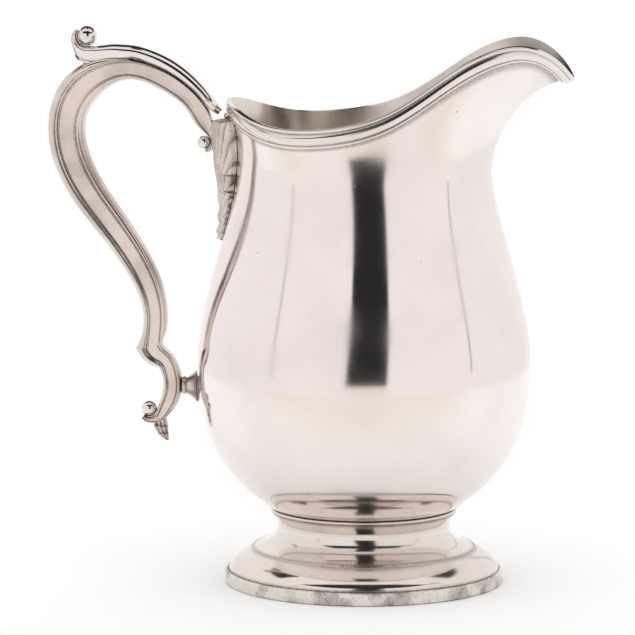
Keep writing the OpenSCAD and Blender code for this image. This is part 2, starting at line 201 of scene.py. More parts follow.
# %% Floor and world
floor_gap = 0.0002
floor_mesh = bpy.data.meshes.new("floor")
floor_mesh.from_pydata([(-8, -4, 0), (8, -4, 0), (8, 14, 0), (-8, 14, 0)], [], [(0, 1, 2, 3)])
floor = bpy.data.objects.new("floor", floor_mesh)
floor.location.z = -floor_gap
scene.collection.objects.link(floor)
floor_paint = bpy.data.materials.new("matt_white_table")
floor_paint.use_nodes = True
tree = floor_paint.node_tree
place = add(tree, "ShaderNodeTexCoord")
depth = add(tree, "ShaderNodeSeparateXYZ", {0: place.outputs["Object"]})
# the floor is painted warm grey at the front and white behind: a painted shade, darker towards the camera
front = add(tree, "ShaderNodeMapRange", {"Value": depth.outputs["Y"], "From Min": -0.35, "From Max": -0.05})
painted_front_shade = add(tree, "ShaderNodeMix", {0: front.outputs[0], 6: linear("#F3EEE6"), 7: linear("#FFFFFF")},
           data_type="RGBA")
paint = tree.nodes["Principled BSDF"]
paint.inputs["Roughness"].default_value = 0.9
paint.inputs["Specular IOR Level"].default_value = 0
tree.links.new(painted_front_shade.outputs[2], paint.inputs["Base Color"])
floor_mesh.materials.append(floor_paint)

world = bpy.data.worlds.new("studio")
scene.world = world
world.use_nodes = True
tree = world.node_tree
tree.nodes.clear()
path = add(tree, "ShaderNodeLightPath")
room = add(tree, "ShaderNodeBackground", {"Color": linear("#2A2A2C"), "Strength": 1.0})
sky = add(tree, "ShaderNodeBackground", {"Color": (1, 1, 1, 1), "Strength": 1.06})
shine = add(tree, "ShaderNodeMixShader",
            {0: path.outputs["Is Glossy Ray"], 1: sky.outputs[0], 2: room.outputs[0]})
add(tree, "ShaderNodeOutputWorld", {"Surface": shine.outputs[0]})
print("studio: tent radius", tent_r, "mm, front wall", front_h, "mm high")

# %% [markdown]
# ## Curves that bend evenly
# A mirror finish shows every uneven bend in a surface, so outlines go through their points as
# natural cubic curves, whose bend changes without a step.


# %% Curve helpers
def lerp(a, b, t):
    return a + (b - a) * t


def ease(t):
    t = np.clip(t, 0, 1)
    return t * t * (3 - 2 * t)


def unit(v):
    return v / np.linalg.norm(v, axis=-1, keepdims=True)


def cubic(knots, values):
    """A function that goes smoothly through the values at the knots."""
    knots, values = np.asarray(knots, float), np.asarray(values, float)
    steps, count = np.diff(knots), len(knots)
    system, right_side = np.eye(count), np.zeros_like(values)
    for i in range(1, count - 1):
        system[i, i - 1:i + 2] = steps[i - 1], 2 * (steps[i - 1] + steps[i]), steps[i]
        slopes = (values[i + 1] - values[i]) / steps[i] - (values[i] - values[i - 1]) / steps[i - 1]
        right_side[i] = 6 * slopes
    bends = np.linalg.solve(system, right_side)

    def at(x):
        x = np.clip(np.asarray(x, float), knots[0], knots[-1])
        i = np.clip(np.searchsorted(knots, x, side="right") - 1, 0, count - 2)
        h, near, far = steps[i], x - knots[i], knots[i + 1] - x
        if values.ndim > 1:
            h, near, far = (np.asarray(q)[..., None] for q in (h, near, far))
        return (bends[i] * far ** 3 / (6 * h) + bends[i + 1] * near ** 3 / (6 * h)
                + (values[i] / h - bends[i] * h / 6) * far
                + (values[i + 1] / h - bends[i + 1] * h / 6) * near)
    return at


def curve_through(points):
    """A smooth curve through points, t from 0 to 1 by length along the first two coordinates."""
    points = np.asarray(points, float)
    lengths = np.linalg.norm(np.diff(points[:, :2], axis=0), axis=1)
    knots = np.concatenate([[0], np.cumsum(lengths)])
    return cubic(knots / knots[-1], points)


# %% [markdown]
# ## The body's formula
# The lower part is round, so one outline makes it. Above the neck each meridian leaves the round
# part along the outline and arrives at the mouth's edge along the sheet's own slope there: steep at
# the back, almost level at the spout. Both ends have their direction, so a Bezier curve fits.

# %% Body formula
belly_z = 92
neck_r, neck_z = 55.2, 176
seat_r, seat_z = 39.8, 32.5
mouth_back, mouth_half_w, mouth_skew = 58.2, 50.5, 0.27
lip_z, crest_z, dip_z, back_z = 219.4, 234.4, 200.6, 209.2
lip_slope, side_slope, back_slope = 14, 86, 77
neck_flat = 0.95
rim_h, lip_rim_h, lip_narrows = 7.6, 5.6, 60

outline = [[0.3 * seat_r, seat_z - 3.4], [0.7 * seat_r, seat_z - 2.4], [seat_r, seat_z]]
outline += [[lerp(seat_r, belly_r, a), lerp(seat_z, belly_z, b)] for a, b in
            ((0.17, 0.064), (0.435, 0.185), (0.62, 0.305), (0.81, 0.473), (0.945, 0.715))]
outline += [[belly_r, belly_z]]
outline += [[lerp(belly_r, neck_r, a), lerp(belly_z, neck_z, b)] for a, b in
            ((0.11, 0.245), (0.42, 0.51), (0.79, 0.785))]
outline += [[neck_r, neck_z], [neck_r - 0.2, neck_z + 17]]
round_part = curve_through(outline)
probe = np.linspace(0, 1, 2001)
neck_share = probe[np.argmin(np.abs(round_part(probe)[:, 1] - neck_z))]
neck_lean = unit(round_part(neck_share + 0.002) - round_part(neck_share - 0.002))

heights = [lip_z, (lip_z + crest_z) / 2, crest_z, lerp(crest_z, dip_z, 0.23), lerp(crest_z, dip_z, 0.77),
           dip_z, dip_z + 0.4, lerp(dip_z, back_z, 0.72), back_z]
edge_curve = cubic(np.arange(-3, 12) * 22.5,
                   [heights[3], heights[2], heights[1], *heights, heights[7], heights[6], heights[5]])


def side_of(t):
    """Degrees from the spout's tip, either way round."""
    return np.abs((np.asarray(t, float) + 180) % 360 - 180)


def mouth_plan(t):
    r = np.radians(t)
    mid, half = (lip_reach - mouth_back) / 2, (lip_reach + mouth_back) / 2
    return np.stack([mid + half * np.cos(r), mouth_half_w * np.sin(r) * (1 - mouth_skew * np.cos(r))], -1)


def mouth_edge(t):
    return np.concatenate([mouth_plan(t), edge_curve(side_of(t))[..., None]], -1)


def sheet_up(t):
    d = mouth_plan(t + 0.5) - mouth_plan(t - 0.5)
    out = unit(np.stack([d[..., 1], -d[..., 0]], -1))
    slope = lerp(lerp(lip_slope, side_slope, ease(side_of(t) / 75)), back_slope, ease(side_of(t) / 60 - 2))
    slope = np.radians(slope)[..., None]
    return np.concatenate([np.cos(slope) * out, np.sin(slope)], -1)


def rim_depth(t):
    return lerp(rim_h, lip_rim_h, ease(1 - side_of(t) / lip_narrows))


def oval(r, z, ray):
    """A point of the body's wall: round up to the belly, narrower than long at the neck."""
    share = lerp(1, neck_flat, ease((z - belly_z + 30) / (neck_z - belly_z + 34)))
    return np.stack([r * ray[..., 0], r * share * ray[..., 1], np.full(ray.shape[:-1], z)], -1)


def body_at(t, v):
    """Points of the body's outside at angles t. v is 0 to 1 up the round part, 1 to 2 up the
    neck and 2 to 3 up the collar behind the rim moulding."""
    plan = mouth_plan(t)
    ray = unit(plan)
    if v <= 1:
        return oval(*round_part(v * neck_share), ray)
    top, up = mouth_edge(t), sheet_up(t)
    base = top - rim_depth(t)[..., None] * up
    if v >= 2:
        return lerp(base, top, v - 2)
    start = oval(neck_r, neck_z, ray)
    rise = unit(start - oval(neck_r - 0.5 * neck_lean[0], neck_z - 0.5 * neck_lean[1], ray))
    reach = 0.34 * np.linalg.norm(base - start, axis=-1, keepdims=True)
    f = v - 1
    return ((1 - f) ** 3 * start + 3 * f * (1 - f) ** 2 * (start + reach * rise)
            + 3 * f * f * (1 - f) * (base - reach * up) + f ** 3 * base)


def body_normal(t, v):
    around = body_at(t + 0.5, v) - body_at(t - 0.5, v)
    upward = body_at(t, min(v + 0.01, 3)) - body_at(t, max(v - 0.01, 0))
    return unit(np.cross(around, upward))


print("neck at", round(float(neck_share), 3), "of the outline")

# %% [markdown]
# ## Polished silver and its tarnish
# Sterling silver that has been polished by hand for decades is bright but never a perfect mirror.
# Polishing leaves fine lines all one way, a soft haze in patches a couple of centimetres wide, and
# a few pits. The cloth does not reach into grooves, so a brown film of sulphide stays there. Each
# piece carries a "recess" value per point, made with its shape, that says where the film stays.
# On the cast handle's flank between spine and panel the film is partly tarnish and partly a painted
# reflection of the tent's dark front.


# %% Silver
def silver(name, clean="#E8E2DD", film="#7D6A5A", shine=0.1, haze=0.08, haze_mm=28, line_mm=0.35,
           line_stretch=(30, 30, 1), line_depth=0.25, grain=0.0, pits=0.0, film_share=0.85, cloud=0.1):
    """A silver finish. shine is the roughness of its clean parts and haze what patches add; lines
    are line_mm apart; grain, pits, film_share and cloud say how much of each there is, 0 to 1."""
    material = bpy.data.materials.new(name)
    material.use_nodes = True
    tree = material.node_tree
    shader = tree.nodes["Principled BSDF"]
    place = add(tree, "ShaderNodeTexCoord").outputs["Object"]
    per_mm = 1 / MM
    patches = add(tree, "ShaderNodeTexNoise", {"Vector": place, "Scale": per_mm / haze_mm, "Detail": 3.0})
    stretch = add(tree, "ShaderNodeMapping", {"Vector": place, "Scale": [1 / s for s in line_stretch]})
    lines = add(tree, "ShaderNodeTexNoise",
                {"Vector": stretch.outputs[0], "Scale": per_mm / line_mm, "Detail": 2.0})
    speckle = add(tree, "ShaderNodeTexNoise", {"Vector": place, "Scale": per_mm / 0.9, "Detail": 4.0})
    # sparse pits: one cell in ten or so holds one
    cells = add(tree, "ShaderNodeTexVoronoi", {"Vector": place, "Scale": per_mm / 7})
    cell_pick = add(tree, "ShaderNodeSeparateColor", {0: cells.outputs["Color"]})
    picked = add(tree, "ShaderNodeMath", {0: cell_pick.outputs[0], 1: 0.13}, operation="LESS_THAN")
    pit_size = add(tree, "ShaderNodeMapRange", {"Value": cells.outputs["Distance"], "From Min": 0.03,
                                               "From Max": 0.075, "To Min": pits, "To Max": 0.0})
    pit = add(tree, "ShaderNodeMath", {0: picked.outputs[0], 1: pit_size.outputs[0]}, operation="MULTIPLY")
    # the film of tarnish: in recesses, broken up by the cloth, and a thin cloud elsewhere; on the handle's
    # flank below the spine the recess film is also a painted reflection of the tent's dark front
    recess = add(tree, "ShaderNodeAttribute", attribute_name="recess")
    broken = add(tree, "ShaderNodeMapRange", {"Value": speckle.outputs[0], "From Min": 0.3, "From Max": 0.7,
                                             "To Min": 0.55, "To Max": 1.1})
    deep = add(tree, "ShaderNodeMath", {0: recess.outputs["Fac"], 1: broken.outputs[0]}, operation="MULTIPLY")
    deep = add(tree, "ShaderNodeMath", {0: deep.outputs[0], 1: film_share}, operation="MULTIPLY")
    thin = add(tree, "ShaderNodeMapRange", {"Value": patches.outputs[0], "From Min": 0.42, "From Max": 0.75,
                                           "To Min": 0.0, "To Max": cloud})
    dust = add(tree, "ShaderNodeMapRange", {"Value": speckle.outputs[0], "From Min": 0.56, "From Max": 0.74,
                                           "To Min": 0.0, "To Max": grain})
    most = deep
    for more in (thin, dust, pit):
        most = add(tree, "ShaderNodeMath", {0: most.outputs[0], 1: more.outputs[0]}, operation="ADD")
    most.use_clamp = True
    colour = add(tree, "ShaderNodeMix", {0: most.outputs[0], 6: linear(clean), 7: linear(film)},
                 data_type="RGBA")
    tree.links.new(colour.outputs[2], shader.inputs["Base Color"])
    hazy = add(tree, "ShaderNodeMapRange", {"Value": patches.outputs[0], "From Min": 0.35, "From Max": 0.7,
                                           "To Min": shine, "To Max": shine + haze})
    rough = add(tree, "ShaderNodeMath", {0: most.outputs[0], 1: 0.35}, operation="MULTIPLY")
    rough = add(tree, "ShaderNodeMath", {0: rough.outputs[0], 1: hazy.outputs[0]}, operation="ADD")
    tree.links.new(rough.outputs[0], shader.inputs["Roughness"])
    height = add(tree, "ShaderNodeMath", {0: pit.outputs[0], 1: -3.0, 2: lines.outputs[0]},
                 operation="MULTIPLY_ADD")
    bump = add(tree, "ShaderNodeBump", {"Height": height.outputs[0], "Strength": line_depth,
                                       "Distance": 0.02 * MM})
    tree.links.new(bump.outputs[0], shader.inputs["Normal"])
    shader.inputs["Metallic"].default_value = 1
    return material


body_silver = silver("hand_polished_sheet_silver", clean="#EFE8E4", shine=0.07, haze=0.07, pits=0.9,
                     cloud=0.08, line_stretch=(40, 40, 1))
inside_silver = silver("sheet_silver_inside", clean="#DED5CC", shine=0.2, haze=0.08, cloud=0.25)
rim_silver = silver("polished_rim_moulding", shine=0.1, haze=0.06, film="#5E5044", pits=0.5)
spun_silver = silver("spun_silver_foot", clean="#E6DFD8", shine=0.08, haze=0.06, line_stretch=(60, 60, 1),
                     film="#6F5F52", grain=0.12)
wire_silver = silver("foot_wire_worn", clean="#E6E0D8", film="#6A6054", shine=0.12, haze=0.1, haze_mm=11,
                     grain=0.6, cloud=0.85)
# cast pieces: their dark film colour on the handle's flank below the spine is tarnish and also a painted
# reflection of the tent's dark front
cast_silver = silver("cast_silver_hand_finished", clean="#E0D6CD", film="#4F4740", shine=0.15, haze=0.08,
                     haze_mm=18, line_mm=0.5, line_stretch=(6, 1, 6), grain=0.05, cloud=0.32, film_share=1.0)
roll_silver = silver("polished_thumb_roll", clean="#EEE8E4", film="#4F4740", shine=0.08, haze=0.05,
                     cloud=0.05, film_share=1.0)
bead_silver = silver("bright_cast_balls", clean="#E8E2DD", shine=0.05, haze=0.03, cloud=0.05, pits=0.4)
leaf_silver = silver("chased_leaf_silver", clean="#DDD4CD", film="#66544A", shine=0.17, haze=0.1,
                     haze_mm=9, grain=0.2, cloud=0.3, film_share=1.0)
print("finishes:", [m.name for m in bpy.data.materials if "silver" in m.name or "balls" in m.name])

# %% [markdown]
# ## One tree that carries a section along a path
# A moulding, a spun ring and a cast scroll are all a section carried along a path. The path is a
# chain of points, and each point says which way the section faces (side and across), how deep it
# is outwards and inwards, how wide it is, and how far it has changed into a second shape. The tree
# lays out a grid with one column for each path point and one row for each section point, and
# moves every grid point to its place. Samples are taken by number, so corners stay exact.

# %% Sweep tree
sweep = bpy.data.node_groups.new("section_along_path", "GeometryNodeTree")
for label, kind, way in (("Path", "NodeSocketObject", "INPUT"), ("Section", "NodeSocketObject", "INPUT"),
                         ("Merge distance", "NodeSocketFloat", "INPUT"),
                         ("Material", "NodeSocketMaterial", "INPUT"),
                         ("Geometry", "NodeSocketGeometry", "OUTPUT")):
    sweep.interface.new_socket(name=label, in_out=way, socket_type=kind)
given = add(sweep, "NodeGroupInput")
path_shape = add(sweep, "GeometryNodeObjectInfo", {"Object": given.outputs["Path"]}).outputs["Geometry"]
section_shape = add(sweep, "GeometryNodeObjectInfo", {"Object": given.outputs["Section"]}).outputs["Geometry"]
path_size = add(sweep, "GeometryNodeAttributeDomainSize", {0: path_shape}).outputs["Point Count"]
section_size = add(sweep, "GeometryNodeAttributeDomainSize", {0: section_shape}).outputs["Point Count"]
grid = add(sweep, "GeometryNodeMeshGrid", {"Size X": 1.0, "Size Y": 1.0, "Vertices X": path_size,
                                         "Vertices Y": section_size})
spot = add(sweep, "ShaderNodeSeparateXYZ", {0: add(sweep, "GeometryNodeInputPosition").outputs[0]})


def number_along(share, count):
    """The number of the path or section point that a grid point stands for."""
    last = add(sweep, "ShaderNodeMath", {0: count, 1: 1.0}, operation="SUBTRACT")
    centred = add(sweep, "ShaderNodeMath", {0: share, 1: 0.5}, operation="ADD")
    scaled = add(sweep, "ShaderNodeMath", {0: centred.outputs[0], 1: last.outputs[0]}, operation="MULTIPLY")
    return add(sweep, "ShaderNodeMath", {0: scaled.outputs[0]}, operation="ROUND").outputs[0]


path_number = number_along(spot.outputs["X"], path_size)
section_number = number_along(spot.outputs["Y"], section_size)


def read(shape, number, name, kind="FLOAT"):
    """The value called name at one numbered point of the path or section; its place if unnamed."""
    if name:
        value = add(sweep, "GeometryNodeInputNamedAttribute", {"Name": name}, data_type=kind).outputs[0]
    else:
        value = add(sweep, "GeometryNodeInputPosition").outputs[0]
    return add(sweep, "GeometryNodeSampleIndex", {"Geometry": shape, "Value": value, "Index": number},
               data_type=kind).outputs[0]


def vector_math(operation, a, b):
    second = "Scale" if operation == "SCALE" else 1
    return add(sweep, "ShaderNodeVectorMath", {0: a, second: b}, operation=operation).outputs[0]


first_shape = read(section_shape, section_number, None, "FLOAT_VECTOR")
second_shape = read(section_shape, section_number, "second", "FLOAT_VECTOR")
change = vector_math("SCALE", vector_math("SUBTRACT", second_shape, first_shape),
                     read(path_shape, path_number, "change"))
section_place = add(sweep, "ShaderNodeSeparateXYZ", {0: vector_math("ADD", first_shape, change)})
outwards = add(sweep, "ShaderNodeMath", {0: section_place.outputs[0], 1: 0.0}, operation="GREATER_THAN")
depth_here = add(sweep, "ShaderNodeMix", {0: outwards.outputs[0], 2: read(path_shape, path_number, "inner"),
                                        3: read(path_shape, path_number, "outer")})
out_by = add(sweep, "ShaderNodeMath", {0: section_place.outputs[0], 1: depth_here.outputs[0]},
             operation="MULTIPLY")
across_by = add(sweep, "ShaderNodeMath", {0: section_place.outputs[1],
                                        1: read(path_shape, path_number, "width")}, operation="MULTIPLY")
moved = vector_math("ADD", read(path_shape, path_number, None, "FLOAT_VECTOR"),
                    vector_math("SCALE", read(path_shape, path_number, "side", "FLOAT_VECTOR"),
                                out_by.outputs[0]))
moved = vector_math("ADD", moved, vector_math(
    "SCALE", read(path_shape, path_number, "across", "FLOAT_VECTOR"), across_by.outputs[0]))
kept = add(sweep, "GeometryNodeStoreNamedAttribute",
           {"Geometry": grid.outputs["Mesh"], "Name": "recess",
            "Value": read(section_shape, section_number, "recess")}, data_type="FLOAT", domain="POINT")
placed = add(sweep, "GeometryNodeSetPosition", {"Geometry": kept.outputs[0], "Position": moved})
joined = add(sweep, "GeometryNodeMergeByDistance", {"Geometry": placed.outputs[0],
                                                  "Distance": given.outputs["Merge distance"]})
real = add(sweep, "GeometryNodeRealizeInstances", {"Geometry": joined.outputs[0]})
dressed = add(sweep, "GeometryNodeSetMaterial", {"Geometry": real.outputs[0],
                                               "Material": given.outputs["Material"]})
add(sweep, "NodeGroupOutput", {"Geometry": dressed.outputs[0]})
print("sweep tree:", len(sweep.nodes), "nodes")

# %% [markdown]
# ## From chains to pieces
# The chains only feed the tree. After the modifier has run, its result is copied to a plain mesh,
# open ends are closed with a face, and normals are turned outwards. Flat and round stretches then
# shade truly, because only edges sharper than a given angle are kept hard.


# %% Piece helpers
def chain(name, points, **values):
    mesh = bpy.data.meshes.new(name)
    points = np.asarray(points, float)
    mesh.from_pydata(points.tolist(), [(i, i + 1) for i in range(len(points) - 1)], [])
    for label, data in values.items():
        data = np.asarray(data, float)
        vector = data.ndim == 2
        layer = mesh.attributes.new(label, "FLOAT_VECTOR" if vector else "FLOAT", "POINT")
        layer.data.foreach_set("vector" if vector else "value", data.ravel())
    piece = bpy.data.objects.new(name, mesh)
    scene.collection.objects.link(piece)
    return piece


def make_path(points, side, across, outer=1, inner=1, width=1, change=0):
    """A path chain from points in millimetres, with the section's facing and size at each."""
    count = len(points)
    return chain("path", np.asarray(points) * MM, side=side, across=across,
                 outer=np.broadcast_to(outer, count) * MM, inner=np.broadcast_to(inner, count) * MM,
                 width=np.broadcast_to(width, count) * MM, change=np.broadcast_to(change, count))


def make_section(corners, second=None, closed=True):
    """A section chain. Corners are (out, across, rounding, recess); a rounded corner becomes a
    short arc, with a point beside each end of it so that the flats stay flat."""
    def soften(points):
        points = np.asarray(points, float)
        out = []
        for k, corner in enumerate(points):
            here, r = corner[:2], corner[2]
            if r == 0 or k in (0, len(points) - 1):
                out.append([*here, corner[3]])
                continue
            before, after = points[k - 1, :2] - here, points[k + 1, :2] - here
            r = min(r, 0.45 * np.linalg.norm(before), 0.45 * np.linalg.norm(after))
            a, b = here + r * unit(before), here + r * unit(after)
            for f in (-0.12, 0, 0.2, 0.4, 0.6, 0.8, 1, 1.12):
                g = np.clip(f, 0, 1)
                p = (1 - g) ** 2 * a + 2 * g * (1 - g) * here + g * g * b
                p = p + (min(f, 0) * -r * unit(before) + max(f - 1, 0) * r * unit(after))
                out.append([*p, corner[3] * (1 - abs(2 * g - 1) ** 3)])
        return np.array(out)
    main = soften(corners)
    other = main if second is None else soften(second)
    if closed:
        main, other = (np.concatenate([part, part[:1]]) for part in (main, other))
    flat = np.zeros((len(main), 1))
    return chain("section", np.hstack([main[:, :2], flat]), second=np.hstack([other[:, :2], flat]),
                 recess=main[:, 2])


def finish_mesh(mesh, smooth_angle):
    work = bmesh.new()
    work.from_mesh(mesh)
    bmesh.ops.remove_doubles(work, verts=work.verts, dist=1e-7)
    loose = [v for v in work.verts if not v.link_faces]
    bmesh.ops.delete(work, geom=loose, context="VERTS")
    rims = [e for e in work.edges if e.is_boundary]
    if rims:
        bmesh.ops.holes_fill(work, edges=rims, sides=0)
    bmesh.ops.recalc_face_normals(work, faces=work.faces)
    work.to_mesh(mesh)
    work.free()
    mesh.shade_smooth()
    mesh.set_sharp_from_angle(angle=math.radians(smooth_angle))


def place_piece(name, mesh, nodes):
    """Puts a finished mesh in the scene for the CAD nodes that it replaces."""
    piece = bpy.data.objects.new(name, mesh)
    scene.collection.objects.link(piece)
    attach(piece, "root")
    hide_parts(*nodes)
    triangles = sum(len(p.vertices) - 2 for p in mesh.polygons)
    low, high = np.array([v.co for v in mesh.vertices]).min(0), np.array([v.co for v in mesh.vertices]).max(0)
    print(name, triangles, "triangles", (low / MM).round(1), (high / MM).round(1))


def sweep_piece(name, path_chain, section_chain, material, nodes, smooth_angle):
    carrier = bpy.data.objects.new(name + "_work", bpy.data.meshes.new(name + "_work"))
    scene.collection.objects.link(carrier)
    modifier = carrier.modifiers.new("section_along_path", "NODES")
    modifier.node_group = sweep
    inputs = {item.name: item.identifier for item in sweep.interface.items_tree if item.in_out == "INPUT"}
    modifier[inputs["Path"]] = path_chain
    modifier[inputs["Section"]] = section_chain
    modifier[inputs["Merge distance"]] = 1e-6
    modifier[inputs["Material"]] = material
    graph = bpy.context.evaluated_depsgraph_get()
    mesh = bpy.data.meshes.new_from_object(carrier.evaluated_get(graph))
    mesh.name = name
    for spent in (carrier, path_chain, section_chain):
        bpy.data.objects.remove(spent)
    finish_mesh(mesh, smooth_angle)
    if not mesh.materials:
        mesh.materials.append(material)
    place_piece(name, mesh, nodes)


def grid_mesh(name, rings, recess):
    """A mesh from closed rings of points in millimetres, its recess value at each point."""
    rings = np.asarray(rings, float)
    rows, count = rings.shape[:2]
    number = np.arange(rows * count).reshape(rows, count)
    number = np.hstack([number, number[:, :1]])
    faces = np.stack([number[:-1, :-1], number[:-1, 1:], number[1:, 1:], number[1:, :-1]], -1)
    mesh = bpy.data.meshes.new(name)
    mesh.from_pydata((rings.reshape(-1, 3) * MM).tolist(), [], faces.reshape(-1, 4).tolist())
    layer = mesh.attributes.new("recess", "FLOAT", "POINT")
    layer.data.foreach_set("value", np.asarray(recess, float).ravel())
    return mesh


# %% [markdown]
# ## The body
# One sheet of silver, raised with the hammer over stakes and then planished smooth. It is a closed
# solid here: the outside runs up to the mouth's edge and the inside runs back down, one sheet's
# thickness in along the surface's own normal. The inside was never polished as hard, so it has a
# duller finish of its own.

# %% Body mesh
columns = 256
body_wall = 1.0
turns = np.arange(columns) * 360 / columns
levels = [*np.linspace(0, 1, 96), *np.linspace(1, 2, 44)[1:], *np.linspace(2, 3, 8)[1:]]
outside = np.array([body_at(turns, v) for v in levels])
inside = np.array([body_at(turns, v) - body_wall * body_normal(turns, v) for v in levels])
outside_centre = np.broadcast_to([0, 0, outside[0, 0, 2]], outside[:1].shape)
inside_centre = np.broadcast_to([0, 0, inside[0, 0, 2]], inside[:1].shape)
rings = np.concatenate([outside_centre, outside, inside[::-1], inside_centre])
under_rim = np.array([ease((v - 1.9) / 0.08) * (v < 2.02) for v in levels])
seat_line = np.exp(-((outside[:, 0, 2] - seat_z) / 1.1) ** 2)
line_up = np.maximum(0.8 * under_rim, 0.35 * seat_line)
recess = np.concatenate([[0], line_up, np.zeros(len(levels)), [0]])
body_mesh = grid_mesh("body", rings, np.repeat(recess[:, None], columns, 1))
body_mesh.materials.append(body_silver)
body_mesh.materials.append(inside_silver)
inner_from = (len(levels) + 1) * columns
slots = [int(k >= inner_from) for k in range(len(body_mesh.polygons))]
body_mesh.polygons.foreach_set("material_index", slots)
finish_mesh(body_mesh, 50)
place_piece("body", body_mesh, ["body_shell"])

# %% [markdown]
# ## The rim moulding
# Each half of the moulding is soldered to the outside of the sheet, from the spout's tip to the
# handle. Its section is the classic one for a heavy rim: a rounded wire on the very edge, a
# hollow, a broad half-round band, and a fine bead below that. The section faces along the sheet's
# own normal and runs down the sheet, and it gets narrower towards the spout.

# %% Rim
rim_section = [(-0.6, 0, 0, 0), (-0.6, 0.7, 0.4, 0), (-0.2, 1.3, 0.5, 0), (0.8, 1.3, 0.5, 0.2),
               (1.3, 0.7, 0.3, 1), (1.8, 1.15, 0.4, 0.3), (3.04, 2.02, 1.3, 0), (4.7, 1.86, 1.0, 0),
               (5.9, 1.0, 0.3, 0.4), (6.25, 0.62, 0.2, 1), (6.6, 1.12, 0.35, 0), (7.2, 1.0, 0.4, 0),
               (7.6, 0.62, 0.1, 0.5), (7.6, 0, 0, 0)]
solder = 0.05
seam_gap = 2 * solder
for half, turn in (("left", -1), ("right", 1)):
    angles = turn * np.linspace(0.03, 179.97, 181)
    up = sheet_up(angles)
    outward = body_normal(angles, 2.5)
    path_chain = make_path(mouth_edge(angles) + seam_gap * outward, outward, -up,
                           width=rim_depth(angles) / rim_h)
    section_chain = make_section([(out, down, r, film) for down, out, r, film in rim_section])
    sweep_piece("rim_moulding_" + half, path_chain, section_chain, rim_silver,
                ["rim_moulding_" + half], 50)

# %% [markdown]
# ## Turned pieces
# The foot is spun and the balls and the small post are turned, so their path is a full circle
# round an axis. The section then holds the radius as its first number and the height as its second.


# %% Turned pieces
def turned(name, corners, material, node, centre=(0, 0, 0), axis=(0, 0, 1), steps=192, smooth_angle=40):
    axis = unit(np.array(axis, float))
    flat = unit(np.cross(axis, [0, 1, 0] if abs(axis[1]) < 0.9 else [1, 0, 0]))
    other = np.cross(axis, flat)
    angle = np.linspace(0, 2 * math.pi, steps + 1)[:, None]
    around = np.cos(angle) * flat + np.sin(angle) * other
    path_chain = make_path(np.tile(centre, (steps + 1, 1)), around, np.tile(axis, (steps + 1, 1)))
    sweep_piece(name, path_chain, make_section(corners, closed=False), material, [node], smooth_angle)


def along(points, first, last, steps=40):
    """Section corners on a smooth curve, with recess values that fade in from both ends."""
    f = np.linspace(0, 1, steps + 1)
    curve = curve_through(points)(f)
    film = first * np.exp(-(f / 0.05) ** 2) + last * np.exp(-((1 - f) / 0.05) ** 2)
    return [(*p, 0, q) for p, q in zip(curve, film)]


waist_r, waist_z, step_r, step_z, foot_wall = 37.2, 24.6, 48.4, 15.3, 1.2
shoulder_r = foot_r - 1.5
flare = [(seat_r + 0.5, seat_z - 1.6), (lerp(waist_r, seat_r, 0.5), lerp(waist_z, seat_z, 0.5)),
         (waist_r, waist_z), (lerp(waist_r, step_r, 0.08), lerp(waist_z, step_z, 0.36)),
         (lerp(waist_r, step_r, 0.36), lerp(waist_z, step_z, 0.72)), (step_r, step_z)]
shoulder_top = step_z - 0.9
shoulder = [(step_r + 0.4, shoulder_top)]
shoulder += [(lerp(step_r, shoulder_r, a), lerp(shoulder_top, wire_h, b)) for a, b in
             ((0.5, 0.28), (0.82, 0.6), (0.975, 0.9))]
shoulder += [(shoulder_r, wire_h + 0.05)]
lip_top = [(seat_r - 4, seat_z - 1.9, 0, 0.5), (seat_r - 0.8, seat_z - 0.35, 0.1, 0.5),
           (seat_r + 0.1, seat_z - 0.2, 0.2, 0.4), (seat_r + 0.9, seat_z - 0.5, 0.3, 0)]
under = [(shoulder_r - foot_wall, wire_h + 0.05, 0, 0.3), (step_r - 1.2, step_z - 2.1, 0.5, 0.3),
         (lerp(waist_r, step_r, 0.3) - 1.3, lerp(waist_z, step_z, 0.72) - 0.6, 2, 0.3),
         (waist_r - 1.2, waist_z, 2, 0.3), (seat_r - 4, seat_z - 3.2, 0.5, 0.3),
         (seat_r - 4, seat_z - 1.9, 0, 0.5)]
turned("foot_pedestal", lip_top + along(flare, 1.0, 0.7) + along(shoulder, 0.5, 1.0) + under, spun_silver,
       "foot_pedestal", smooth_angle=30)

wire_w = 4.6
wire = [(foot_r - wire_w, 0.3, 0, 0.4), (foot_r - wire_w, 0, 0.2, 0.4), (foot_r, 0, 0.35, 0.5),
        (foot_r, wire_h, 1.3, 0), (shoulder_r + 0.45, wire_h, 0.15, 0.5),
        (shoulder_r + 0.1, wire_h - 0.3, 0.1, 1),
        (shoulder_r - 0.3, wire_h - 0.02, 0.1, 1), (foot_r - wire_w, wire_h - 0.02, 0.1, 0.6),
        (foot_r - wire_w, 0.3, 0, 0.4)]
turned("foot_wire", wire, wire_silver, "foot_wire", smooth_angle=30)


def ball(node, steps=96):
    """A ball turned about the across axis."""
    centre, r = ball_of(node)
    angle = np.linspace(-math.pi / 2, math.pi / 2, steps // 2 + 1)
    corners = [(max(r * math.cos(a), 0), r * math.sin(a), 0, 0) for a in angle]
    turned(node, corners, bead_silver, node, centre, (0, 1, 0), steps, 60)


for node in ("thumb_ball", "upper_scroll_ball", "lower_scroll_ball", "rim_bead"):
    ball(node)

# %% [markdown]
# ## The cast handle
# The handle's curve goes through given points, in a measure that runs up the body's side: s is 0 at the post
# and 1 near the back of the mouth, and out is the distance behind the body. It starts as a small curl round a
# ball, climbs over the arch and comes down to the lower scroll.

# %% Handle path
strut_z = 84.5
handle_half_w, strip_half_w = 5.2, 4.6
thumb_at, thumb_r = ball_of("thumb_ball")
upper_at, upper_r = ball_of("upper_scroll_ball")
lower_at, lower_r = ball_of("lower_scroll_ball")
bead_at, bead_r = ball_of("rim_bead")


def handle_at(s, out):
    return np.array([-lerp(belly_r, mouth_back, s) - out, lerp(strut_z, back_z, s)])


